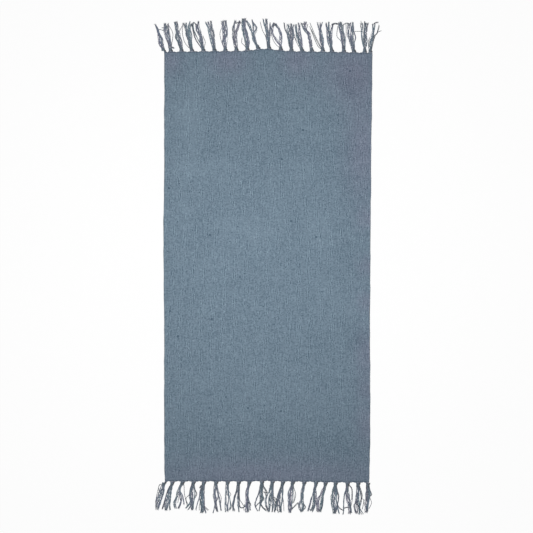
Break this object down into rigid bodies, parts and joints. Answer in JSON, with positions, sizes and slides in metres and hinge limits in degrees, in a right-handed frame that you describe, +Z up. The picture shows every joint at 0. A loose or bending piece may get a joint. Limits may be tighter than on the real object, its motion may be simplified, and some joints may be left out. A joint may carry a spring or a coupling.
{
  "type": "rug",
  "caption": "Flat-woven plain cotton rug lying flat, with warp ends knotted into a fringe of tassels along both short ends.",
  "frame": {"origin": "middle of the woven cloth's underside, on the floor", "axes": "+Z up from the floor, +Y along the rug's length towards the end with the bowed edge, +X across its width"},
  "size_m": [0.7607, 1.6768, 0.007],
  "materials": {
    "weave": "matt plain-woven cotton, blue-grey",
    "fringe_yarn": "matt twisted cotton yarn, blue-grey"
  },
  "bodies": {
    "root": {"woven_field": "weave", "fringe_top": "fringe_yarn", "fringe_bottom": "fringe_yarn"}
  },
  "joints": []
}
